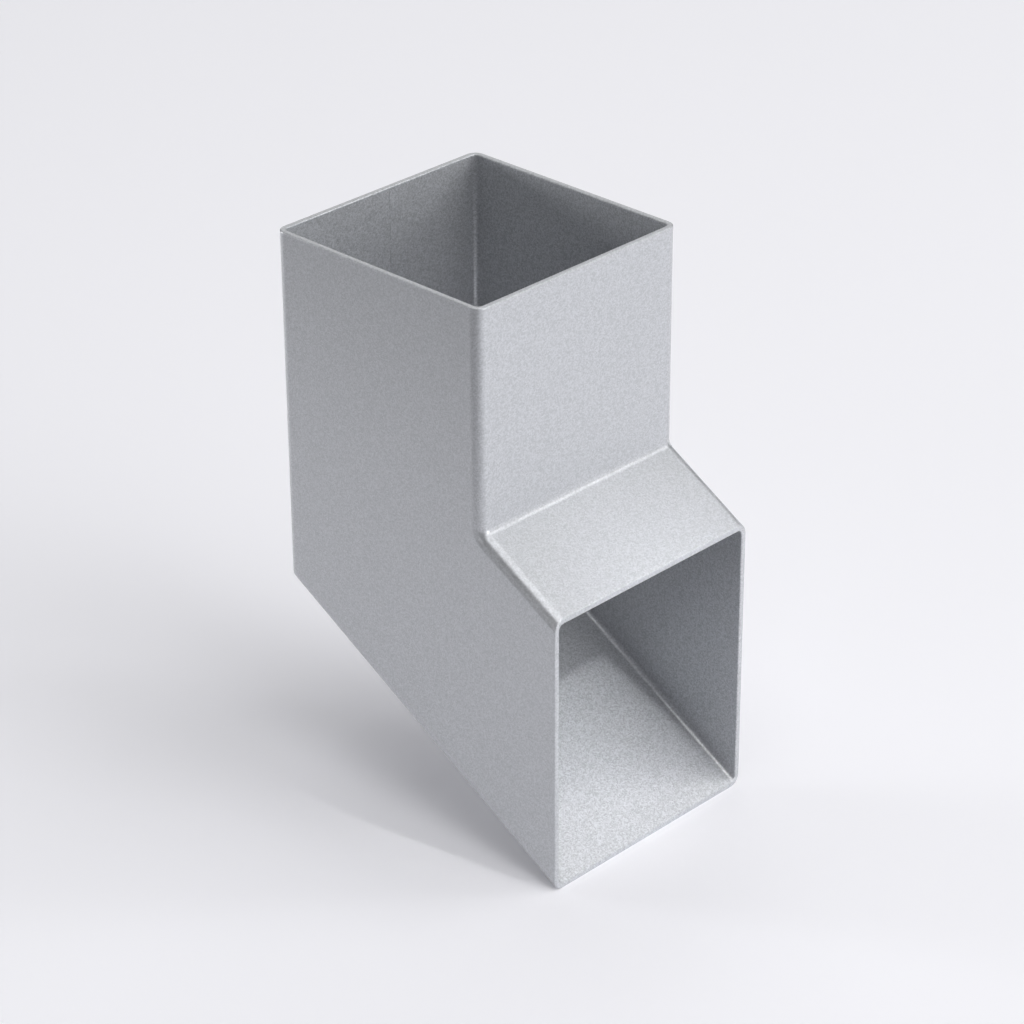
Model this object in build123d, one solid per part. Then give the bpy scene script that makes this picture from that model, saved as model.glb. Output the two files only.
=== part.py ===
from build123d import *
import math
import os

# Square downpipe shoe: an upright socket, a mitred bend and a sloping outlet, one hollow section.
# It is folded and welded from one thickness of aluminium sheet. The rounded long corners run on
# unbroken round the heel and the crease, the outlet's mouth is cut upright and both ends are open.
#
# Frame: origin at the centre of the socket's open end, +Z up the downpipe, +Y towards the wall of
# the building and -Y out of the outlet. Millimetres and degrees.

# Upright socket, measured outside, with its length down the front
SOCKET_WIDTH = 76.0
SOCKET_DEPTH = 76.0
SOCKET_FRONT_LENGTH = 64.9

# Sloping outlet: fall below level, depth square to the slope, and reach out past the socket's front
OUTLET_SLOPE = 30.0
OUTLET_DEPTH = 73.0
OUTLET_REACH = 26.7

# Coated sheet and folds
WALL = 1.7
INSIDE_CORNER_RADIUS = 1.5
CREASE_RADIUS = 2.0
EDGE_EASE = 0.35

# Welded seam that shows as a fine groove down the inside of the back wall
SEAM_OFFSET = 2.7
SEAM_WIDTH = 0.36
SEAM_DEPTH = 0.07

# Length by which the cavity is drawn on past both open ends
OVERRUN = 20.0

FALL = math.tan(math.radians(OUTLET_SLOPE))
SLOPE_STRETCH = 1 / math.cos(math.radians(OUTLET_SLOPE))
BACK_Y = SOCKET_DEPTH / 2
FRONT_Y = -SOCKET_DEPTH / 2
MOUTH_Y = FRONT_Y - OUTLET_REACH
SOCKET_BACK_LENGTH = SOCKET_FRONT_LENGTH + OUTLET_DEPTH * SLOPE_STRETCH - SOCKET_DEPTH * FALL
CORNER_RADIUS = INSIDE_CORNER_RADIUS + WALL


def lower_wall_z(y, inset):
    """Height at y of the outlet's lower face, moved into the section by inset."""
    return -SOCKET_BACK_LENGTH - (BACK_Y - y) * FALL + inset * SLOPE_STRETCH


def upper_wall_z(y, inset):
    """Height at y of the outlet's upper face, moved into the section by inset."""
    return -SOCKET_FRONT_LENGTH - (FRONT_Y - y) * FALL - inset * SLOPE_STRETCH


def on_plane(edge, axis, place):
    """True where the whole edge lies on the plane that crosses the axis at that place."""
    size = edge.bounding_box()
    low = getattr(size.min, axis)
    high = getattr(size.max, axis)
    return abs(low - place) < 0.001 and abs(high - place) < 0.001


def bent_section(inset, overrun, corner_radius, crease_radius):
    """Solid form of the bent tube with every face moved in by inset and both ends run on."""
    half_width = SOCKET_WIDTH / 2 - inset
    back = BACK_Y - inset
    front = FRONT_Y + inset
    mouth = MOUTH_Y - overrun
    side_outline = Polyline(
        (back, overrun),
        (back, lower_wall_z(back, inset)),
        (mouth, lower_wall_z(mouth, inset)),
        (mouth, upper_wall_z(mouth, inset)),
        (front, upper_wall_z(front, inset)),
        (front, overrun),
        close=True,
    )
    form = extrude(Plane.YZ * make_face(side_outline), amount=half_width, both=True)

    crease = [
        edge
        for edge in form.edges()
        if on_plane(edge, "Y", front) and on_plane(edge, "Z", upper_wall_z(front, inset))
    ]
    form = fillet(crease, crease_radius)

    # The long corners and the heel turn with one radius, so they meet in a ball at each end of it
    long_corners = [
        edge
        for edge in form.edges()
        if (on_plane(edge, "X", half_width) or on_plane(edge, "X", -half_width))
        and not on_plane(edge, "Z", overrun)
        and not on_plane(edge, "Y", mouth)
    ]
    heel = [
        edge
        for edge in form.edges()
        if on_plane(edge, "Y", back) and on_plane(edge, "Z", lower_wall_z(back, inset))
    ]
    return fillet(long_corners + heel, corner_radius)


def seam_groove():
    """Fine upright groove cut into the inner face of the back wall, from the rim to the heel."""
    inner_face_y = BACK_Y - WALL
    top = OVERRUN
    bottom = lower_wall_z(inner_face_y, WALL) + INSIDE_CORNER_RADIUS
    groove = Box(SEAM_WIDTH, 2 * SEAM_DEPTH, top - bottom)
    return Pos(SEAM_OFFSET, inner_face_y, (top + bottom) / 2) * groove


def downpipe_shoe():
    """The whole shoe: the bent tube, hollowed, with its cut ends eased and its seam line."""
    outer = bent_section(0, 0, CORNER_RADIUS, CREASE_RADIUS)
    cavity = bent_section(WALL, OVERRUN, INSIDE_CORNER_RADIUS, CREASE_RADIUS + WALL)
    shoe = outer - cavity
    cut_ends = [edge for edge in shoe.edges() if on_plane(edge, "Z", 0) or on_plane(edge, "Y", MOUTH_Y)]
    shoe = fillet(cut_ends, EDGE_EASE)
    return shoe - seam_groove()


os.makedirs("parts", exist_ok=True)
export_step(downpipe_shoe(), "parts/shoe_body.step")
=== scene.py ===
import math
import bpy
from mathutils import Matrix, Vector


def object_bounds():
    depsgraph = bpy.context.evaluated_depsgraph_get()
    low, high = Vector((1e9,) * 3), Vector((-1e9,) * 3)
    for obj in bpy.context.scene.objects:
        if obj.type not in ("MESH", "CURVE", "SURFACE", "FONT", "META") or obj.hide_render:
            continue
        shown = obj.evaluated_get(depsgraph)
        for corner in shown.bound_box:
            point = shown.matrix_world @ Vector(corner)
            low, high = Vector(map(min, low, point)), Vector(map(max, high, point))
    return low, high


bl_info = {
    "name": "Downpipe Shoe",
    "version": (1, 0, 0),
    "blender": (4, 5, 0),
    "location": "3D View > Sidebar > Downpipe Shoe",
    "description": "Powder-coats a square downpipe shoe and sets it up in a pale studio",
    "category": "Object",
}

from collections import namedtuple

import bpy
from bpy.props import FloatProperty, FloatVectorProperty, PointerProperty
from bpy.types import Operator, Panel, PropertyGroup
from mathutils import Matrix, Vector

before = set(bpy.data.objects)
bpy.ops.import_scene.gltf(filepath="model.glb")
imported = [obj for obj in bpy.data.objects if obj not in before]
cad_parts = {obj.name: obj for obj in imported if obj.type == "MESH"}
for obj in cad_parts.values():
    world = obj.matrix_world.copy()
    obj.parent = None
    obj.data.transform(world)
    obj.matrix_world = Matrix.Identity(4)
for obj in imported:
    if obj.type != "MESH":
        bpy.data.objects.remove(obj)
CAD_LOW, CAD_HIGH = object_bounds()

# Names of the object's own piece and finish
SHOE = "shoe_body"
COAT_SLOT = "powder_coat"

# Millimetres to metres
MM = 0.001

# The bent section, as the CAD draws it: the front and back faces stand as far from the origin as
# each other, and both faces of the outlet fall with the same slope from their ends
FRONT_LENGTH = 64.9 * MM
BACK_LENGTH = 105.3 * MM
OUTLET_SLOPE = math.radians(30)
WALL = 1.7 * MM

# Depths below the outer faces between which the outer coat's grain turns into the inner one's
GRAIN_TURN_START = 0.4 * WALL
GRAIN_TURN_END = 0.9 * WALL

# Mean of the random values that a texture gives each flake
MEAN_CHANCE = 0.5

# Finer noise on the humps of the orange peel, and how strong it is
PEEL_DETAIL = 1.0
PEEL_ROUGHNESS = 0.4

# The floor's dull gloss, and the corners of its round rim
FLOOR_ROUGHNESS = 0.6
FLOOR_SPECULAR = 0.3
FLOOR_CORNERS = 96

# Width of the camera's sensor in millimetres, and the nearest distance that it sees in metres
SENSOR_WIDTH = 36.0
NEAR_CLIP = 0.01

Lamp = namedtuple("Lamp", "name azimuth elevation size power")

# Soft square lamps that face the middle of the shoe. Azimuth 0 stands out past the outlet and 90 on
# the +X side, in degrees; size is in metres and power in watts.
LAMP_DISTANCE = 4.0
LAMPS = (
    Lamp("key_softbox", 45, 55, 2.4, 35.0),
    Lamp("front_softbox", 0, 40, 2.4, 36.0),
    Lamp("front_middle_softbox", 15, 24, 2.4, 22.0),
    Lamp("front_low_softbox", 15, 8, 1.23, 52.0),
    Lamp("overhead_left_softbox", -45, 72, 2.4, 40.0),
    Lamp("overhead_back_softbox", 180, 72, 2.4, 18.0),
    Lamp("overhead_right_softbox", 90, 60, 4.0, 24.0),
    Lamp("rim_softbox", 134, 30, 2.4, 14.0),
    Lamp("left_low_softbox", -90, 8, 1.23, 9.0),
    Lamp("back_low_softbox", -150, 6, 0.9, 58.0),
    Lamp("crease_lamp", 47, 28, 0.6, 12.0),
)

# A narrow lamp that shines into the outlet's mouth, with its radius as its size, and the point in
# the outlet that it faces
MOUTH_SNOOT = Lamp("mouth_snoot", 9, 51, 0.035, 52.0)
SNOOT_DISTANCE = 1.2
SNOOT_CONE = math.radians(3.0)
SNOOT_BLEND = 0.6
SNOOT_TARGET = Vector((0, -42, -132)) * MM


def direction(azimuth, elevation):
    """Unit vector towards a place seen round the shoe: azimuth 0 is -Y, and elevation is up."""
    return Vector(
        (
            math.sin(azimuth) * math.cos(elevation),
            -math.cos(azimuth) * math.cos(elevation),
            math.sin(elevation),
        )
    )


class Signal:
    """One output of a shader node. Arithmetic on it adds the Math nodes."""

    def __init__(self, shader, socket):
        self.shader = shader
        self.socket = socket

    def math(self, operation, *values):
        """A Math node on these values, as a new signal."""
        return self.shader.node("ShaderNodeMath", {"operation": operation}, dict(enumerate(values)))

    def output(self, name):
        """Another output of the same node."""
        return Signal(self.shader, self.socket.node.outputs[name])

    def least(self, *others):
        """The smallest of the signal and these."""
        smallest = self
        for other in others:
            smallest = self.math("MINIMUM", smallest, other)
        return smallest

    def greatest(self, other):
        """The larger of the signal and the other."""
        return self.math("MAXIMUM", self, other)

    def __abs__(self):
        return self.math("ABSOLUTE", self)

    def __add__(self, other):
        return self.math("ADD", self, other)

    def __radd__(self, other):
        return self.math("ADD", other, self)

    def __sub__(self, other):
        return self.math("SUBTRACT", self, other)

    def __rsub__(self, other):
        return self.math("SUBTRACT", other, self)

    def __mul__(self, other):
        return self.math("MULTIPLY", self, other)

    def __rmul__(self, other):
        return self.math("MULTIPLY", other, self)


class Shader:
    """The node tree of one material, with its Principled surface."""

    def __init__(self, material):
        material.use_nodes = True
        self.tree = material.node_tree
        self.surface = self.tree.nodes["Principled BSDF"]

    def put(self, socket, value):
        """Links a signal to a socket, or sets the socket's own value."""
        if isinstance(value, Signal):
            self.tree.links.new(value.socket, socket)
        else:
            socket.default_value = value

    def node(self, kind, settings, inputs, output=0):
        """A node with its settings made first, then the values or links of its sockets."""
        made = self.tree.nodes.new(kind)
        for name, value in settings.items():
            setattr(made, name, value)
        for name, value in inputs.items():
            self.put(made.inputs[name], value)
        return Signal(self, made.outputs[output])

    def ramp(self, value, start, end, first, last):
        """A value that goes softly from first to last while the given one goes from start to end."""
        return self.node(
            "ShaderNodeMapRange",
            {"interpolation_type": "SMOOTHSTEP"},
            {"Value": value, "From Min": start, "From Max": end, "To Min": first, "To Max": last},
        )

    def vector(self, operation, *values):
        """A Vector Math node on these vectors."""
        return self.node("ShaderNodeVectorMath", {"operation": operation}, dict(enumerate(values)))

    def scaled(self, vector, amount):
        """A vector or colour times an amount."""
        return self.node("ShaderNodeVectorMath", {"operation": "SCALE"}, {0: vector, "Scale": amount})

    def finish(self, **inputs):
        """Sets the Principled surface's sockets, with spaces written as underscores."""
        for name, value in inputs.items():
            self.put(self.surface.inputs[name.replace("_", " ")], value)


class CoatSettings(PropertyGroup):
    """The silver powder coat."""

    colour: FloatVectorProperty(
        name="Colour",
        description="Mean colour of the coat",
        subtype="COLOR",
        size=3,
        min=0.0,
        max=1.0,
        default=(0.492, 0.505, 0.530),
    )
    flake_contrast: FloatProperty(
        name="Flake contrast",
        description="Spread of the flakes' tones, darkest to lightest, as a share of the mean colour",
        min=0.0,
        max=1.0,
        default=0.28,
    )
    inside_contrast: FloatProperty(
        name="Inside contrast",
        description="The same for the grainier coat inside the shoe",
        min=0.0,
        max=1.0,
        default=0.43,
    )
    flake_size: FloatProperty(
        name="Flake size",
        description="Width of one flake of the grain",
        unit="LENGTH",
        precision=5,
        default=0.36 * MM,
    )
    flake_tilt: FloatProperty(
        name="Flake tilt",
        description="How far the slopes of single flakes differ, from one extreme to the other",
        min=0.0,
        max=1.0,
        default=0.04,
    )
    metallic: FloatProperty(
        name="Metallic",
        description="Share of the surface that the aluminium flakes cover",
        min=0.0,
        max=1.0,
        default=0.45,
    )
    flake_spread: FloatProperty(
        name="Flake spread",
        description="How far that share differs from one spot of the grain to the next",
        min=0.0,
        max=1.0,
        default=0.40,
    )
    roughness: FloatProperty(
        name="Roughness",
        description="Softness of the reflections in the flakes",
        min=0.0,
        max=1.0,
        default=0.40,
    )
    gloss_roughness: FloatProperty(
        name="Gloss roughness",
        description="Softness of the reflections in the clear layer over the flakes",
        min=0.0,
        max=1.0,
        default=0.22,
    )
    peel_size: FloatProperty(
        name="Orange peel size",
        description="Distance from one soft hump of the cured coat to the next",
        unit="LENGTH",
        precision=5,
        default=1.6 * MM,
    )
    peel_height: FloatProperty(
        name="Orange peel height",
        description="Height of the soft humps of the cured coat",
        unit="LENGTH",
        precision=6,
        default=0.006 * MM,
    )


class StageSettings(PropertyGroup):
    """The floor, the world and the camera."""

    floor_colour: FloatVectorProperty(
        name="Floor colour",
        description="Colour of the pale floor",
        subtype="COLOR",
        size=3,
        min=0.0,
        max=1.0,
        default=(0.812, 0.810, 0.845),
    )
    floor_glow: FloatProperty(
        name="Floor glow",
        description="Light of the floor's own, as a share of its colour, which no shadow takes away",
        min=0.0,
        max=1.0,
        default=0.15,
    )
    floor_radius: FloatProperty(
        name="Floor radius",
        description="Reach of the floor round the shoe",
        unit="LENGTH",
        default=6.0,
    )
    # The floor past the paper's left edge is painted shade: it is darker there so that the side wall and
    # near corner reflect it
    paper_edge: FloatProperty(
        name="Paper edge",
        description="Distance from the downpipe's axis to the left edge of the pale paper on the floor",
        unit="LENGTH",
        default=0.235,
    )
    paper_fade: FloatProperty(
        name="Paper fade",
        description="Width over which the paper's edge fades into the bare floor",
        unit="LENGTH",
        default=0.04,
    )
    # Painted shade: tone of the dark floor past the paper's edge, which the metal reflects as its dark
    # bands
    painted_shade_tone: FloatProperty(
        name="Bare floor",
        description="Tone of the floor beside the paper, as a share of the paper's",
        min=0.0,
        max=1.0,
        default=0.28,
    )
    world_colour: FloatVectorProperty(
        name="World colour",
        description="Colour of the studio's nearly black walls",
        subtype="COLOR",
        size=3,
        min=0.0,
        max=1.0,
        default=(0.010, 0.010, 0.011),
    )
    view_azimuth: FloatProperty(
        name="View azimuth",
        description="Side from which the camera looks, 0 facing the outlet",
        unit="ROTATION",
        default=math.radians(-45.831),
    )
    view_elevation: FloatProperty(
        name="View elevation",
        description="Angle of the camera above level",
        unit="ROTATION",
        default=math.radians(28.056),
    )
    view_roll: FloatProperty(
        name="View roll",
        description="Turn of the camera about its own line of sight",
        unit="ROTATION",
        default=math.radians(-0.347),
    )
    view_distance: FloatProperty(
        name="View distance",
        description="Distance from the camera to the point that it looks at",
        unit="LENGTH",
        default=0.9507,
    )
    view_target: FloatVectorProperty(
        name="View target",
        description="Point that the camera looks at, from the middle of the shoe's box",
        subtype="TRANSLATION",
        unit="LENGTH",
        size=3,
        default=(-0.15 * MM, 0.70 * MM, 0.70 * MM),
    )
    lens: FloatProperty(
        name="Lens",
        description="Focal length of the camera, in millimetres",
        default=121.40,
    )


def depth_below_skin(shader, place):
    """Depth of a place in the shoe's wall or bore below the section's outer faces."""
    axes = shader.node("ShaderNodeSeparateXYZ", {}, {"Vector": place})
    across = axes.output("X")
    backwards = axes.output("Y")
    height = axes.output("Z")
    side = CAD_HIGH.x - abs(across)
    back = CAD_HIGH.y - backwards
    front = CAD_HIGH.y + backwards
    rise = math.tan(OUTLET_SLOPE)
    lower = (height + BACK_LENGTH + back * rise) * math.cos(OUTLET_SLOPE)
    upper = (front * rise - FRONT_LENGTH - height) * math.cos(OUTLET_SLOPE)
    return side.least(back, lower, front.greatest(upper))


def powder_coat_material(coat):
    """Satin silver powder coat: fine aluminium flakes, each with its own lean, under a soft peel."""
    material = bpy.data.materials.new(COAT_SLOT)
    shader = Shader(material)
    place = shader.node("ShaderNodeTexCoord", {}, {}).output("Object")

    flake = shader.node("ShaderNodeTexVoronoi", {}, {"Vector": place, "Scale": 1 / coat.flake_size})
    chance = shader.node("ShaderNodeSeparateColor", {}, {"Color": flake.output("Color")})
    depth = depth_below_skin(shader, place)
    grain = shader.ramp(
        depth, GRAIN_TURN_START, GRAIN_TURN_END, coat.flake_contrast, coat.inside_contrast
    )
    tone = 1 + (chance - MEAN_CHANCE) * grain
    metallic = coat.metallic + (chance.output("Green") - MEAN_CHANCE) * coat.flake_spread

    # White noise on a flake's colour gives it a lean of its own, apart from its tone
    other_chance = shader.node("ShaderNodeTexWhiteNoise", {}, {"Vector": flake.output("Color")}, "Color")
    lean = shader.vector("SUBTRACT", other_chance, (MEAN_CHANCE, MEAN_CHANCE, MEAN_CHANCE))
    lean = shader.scaled(lean, coat.flake_tilt)
    upright = shader.node("ShaderNodeNewGeometry", {}, {}).output("Normal")
    flake_normal = shader.vector("NORMALIZE", shader.vector("ADD", upright, lean))

    peel = shader.node(
        "ShaderNodeTexNoise",
        {},
        {
            "Vector": place,
            "Scale": 1 / coat.peel_size,
            "Detail": PEEL_DETAIL,
            "Roughness": PEEL_ROUGHNESS,
        },
    )
    surface = shader.node(
        "ShaderNodeBump",
        {},
        {"Height": peel, "Distance": coat.peel_height, "Normal": flake_normal},
    )
    shader.finish(
        Base_Color=shader.scaled(tuple(coat.colour), tone),
        Metallic=metallic,
        Roughness=coat.roughness,
        Coat_Weight=1.0,
        Coat_Roughness=coat.gloss_roughness,
        Normal=surface,
    )
    return material


def floor_material(stage):
    """Matt floor under a pale paper, which ends a little way to the left of the shoe, with painted
    shade on the floor past it for the metal to reflect. Its own share of light shows to the camera
    and in gloss, and lights nothing else.
    """
    material = bpy.data.materials.new("studio_floor")
    shader = Shader(material)
    place = shader.node("ShaderNodeTexCoord", {}, {}).output("Object")
    across = shader.node("ShaderNodeSeparateXYZ", {}, {"Vector": place}).output("X")
    fade_start = -stage.paper_edge - stage.paper_fade
    # Painted shade: past the paper's left edge the floor turns dark, for the metal to reflect
    paper = shader.ramp(across, fade_start, -stage.paper_edge, stage.painted_shade_tone, 1.0)
    colour = shader.scaled(tuple(stage.floor_colour), paper)
    rays = shader.node("ShaderNodeLightPath", {}, {})
    seen = rays.output("Is Camera Ray") + rays.output("Is Glossy Ray")
    shader.finish(
        Base_Color=colour,
        Roughness=FLOOR_ROUGHNESS,
        Specular_IOR_Level=FLOOR_SPECULAR,
        Emission_Color=shader.scaled(colour, seen * stage.floor_glow),
        Emission_Strength=1.0,
    )
    return material


def add_object(name, data):
    """A new object in the scene's own collection."""
    made = bpy.data.objects.new(name, data)
    bpy.context.scene.collection.objects.link(made)
    return made


def shoe_middle():
    """Middle of the shoe's box."""
    return (CAD_LOW + CAD_HIGH) / 2


class SHOE_OT_powder_coat(Operator):
    """Give the shoe its silver powder coat"""

    bl_idname = "shoe.powder_coat"
    bl_label = "Powder Coat"

    def execute(self, context):
        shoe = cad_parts[SHOE]
        shoe.data.materials.clear()
        shoe.data.materials.append(powder_coat_material(context.scene.shoe_coat))
        return {"FINISHED"}


class SHOE_OT_stage(Operator):
    """Set up the pale floor, the lamps, the world and the camera"""

    bl_idname = "shoe.stage"
    bl_label = "Studio Stage"

    def add_floor(self, stage):
        """A wide round floor at the height of the shoe's lowest point."""
        rim = [
            (
                stage.floor_radius * math.cos(math.tau * corner / FLOOR_CORNERS),
                stage.floor_radius * math.sin(math.tau * corner / FLOOR_CORNERS),
                CAD_LOW.z,
            )
            for corner in range(FLOOR_CORNERS)
        ]
        mesh = bpy.data.meshes.new("studio_floor")
        mesh.from_pydata(rim, [], [range(FLOOR_CORNERS)])
        mesh.materials.append(floor_material(stage))
        add_object("studio_floor", mesh)

    def hang(self, light, lamp, target, distance):
        """Hangs a light out from the target on the lamp's side, facing it."""
        light.energy = lamp.power
        towards = direction(math.radians(lamp.azimuth), math.radians(lamp.elevation))
        holder = add_object(lamp.name, light)
        holder.location = target + towards * distance
        holder.rotation_euler = (-towards).to_track_quat("-Z", "Y").to_euler()
        holder.visible_camera = False

    def add_softbox(self, lamp):
        """A soft square lamp that faces the middle of the shoe."""
        light = bpy.data.lights.new(lamp.name, "AREA")
        light.size = lamp.size
        self.hang(light, lamp, shoe_middle(), LAMP_DISTANCE)

    def add_snoot(self, lamp):
        """A narrow lamp that shines into the outlet's mouth."""
        light = bpy.data.lights.new(lamp.name, "SPOT")
        light.shadow_soft_size = lamp.size
        light.spot_size = SNOOT_CONE
        light.spot_blend = SNOOT_BLEND
        self.hang(light, lamp, SNOOT_TARGET, SNOOT_DISTANCE)

    def add_world(self, stage):
        """Nearly black walls all round."""
        world = bpy.data.worlds.new("studio_walls")
        world.use_nodes = True
        world.node_tree.nodes["Background"].inputs["Color"].default_value = (*stage.world_colour, 1.0)
        bpy.context.scene.world = world

    def add_camera(self, stage):
        """The camera at the photograph's place, with its small roll."""
        lens = bpy.data.cameras.new("photo_camera")
        lens.sensor_width = SENSOR_WIDTH
        lens.lens = stage.lens
        lens.clip_start = NEAR_CLIP
        backwards = direction(stage.view_azimuth, stage.view_elevation)
        level = Vector((math.cos(stage.view_azimuth), math.sin(stage.view_azimuth), 0.0))
        right = Matrix.Rotation(stage.view_roll, 3, backwards) @ level
        up = backwards.cross(right)
        camera = add_object("photo_camera", lens)
        turn = Matrix((right, up, backwards)).transposed().to_4x4()
        target = shoe_middle() + Vector(stage.view_target)
        camera.matrix_world = Matrix.Translation(target + backwards * stage.view_distance) @ turn
        bpy.context.scene.camera = camera

    def execute(self, context):
        stage = context.scene.shoe_stage
        self.add_floor(stage)
        for lamp in LAMPS:
            self.add_softbox(lamp)
        self.add_snoot(MOUTH_SNOOT)
        self.add_world(stage)
        self.add_camera(stage)
        context.scene.view_settings.view_transform = "Standard"
        return {"FINISHED"}


class SHOE_PT_sidebar(Panel):
    """The shoe's settings and the buttons that make it"""

    bl_idname = "SHOE_PT_sidebar"
    bl_label = "Downpipe Shoe"
    bl_space_type = "VIEW_3D"
    bl_region_type = "UI"
    bl_category = "Downpipe Shoe"

    def draw(self, context):
        groups = (
            (context.scene.shoe_coat, SHOE_OT_powder_coat),
            (context.scene.shoe_stage, SHOE_OT_stage),
        )
        for settings, operator in groups:
            box = self.layout.box()
            for name in settings.__annotations__:
                box.prop(settings, name)
            box.operator(operator.bl_idname)


CLASSES = (CoatSettings, StageSettings, SHOE_OT_powder_coat, SHOE_OT_stage, SHOE_PT_sidebar)


def register():
    for each in CLASSES:
        bpy.utils.register_class(each)
    bpy.types.Scene.shoe_coat = PointerProperty(type=CoatSettings)
    bpy.types.Scene.shoe_stage = PointerProperty(type=StageSettings)


def unregister():
    del bpy.types.Scene.shoe_stage
    del bpy.types.Scene.shoe_coat
    for each in reversed(CLASSES):
        bpy.utils.unregister_class(each)


def main():
    register()
    bpy.ops.shoe.powder_coat()
    bpy.ops.shoe.stage()


if __name__ == "__main__":
    main()
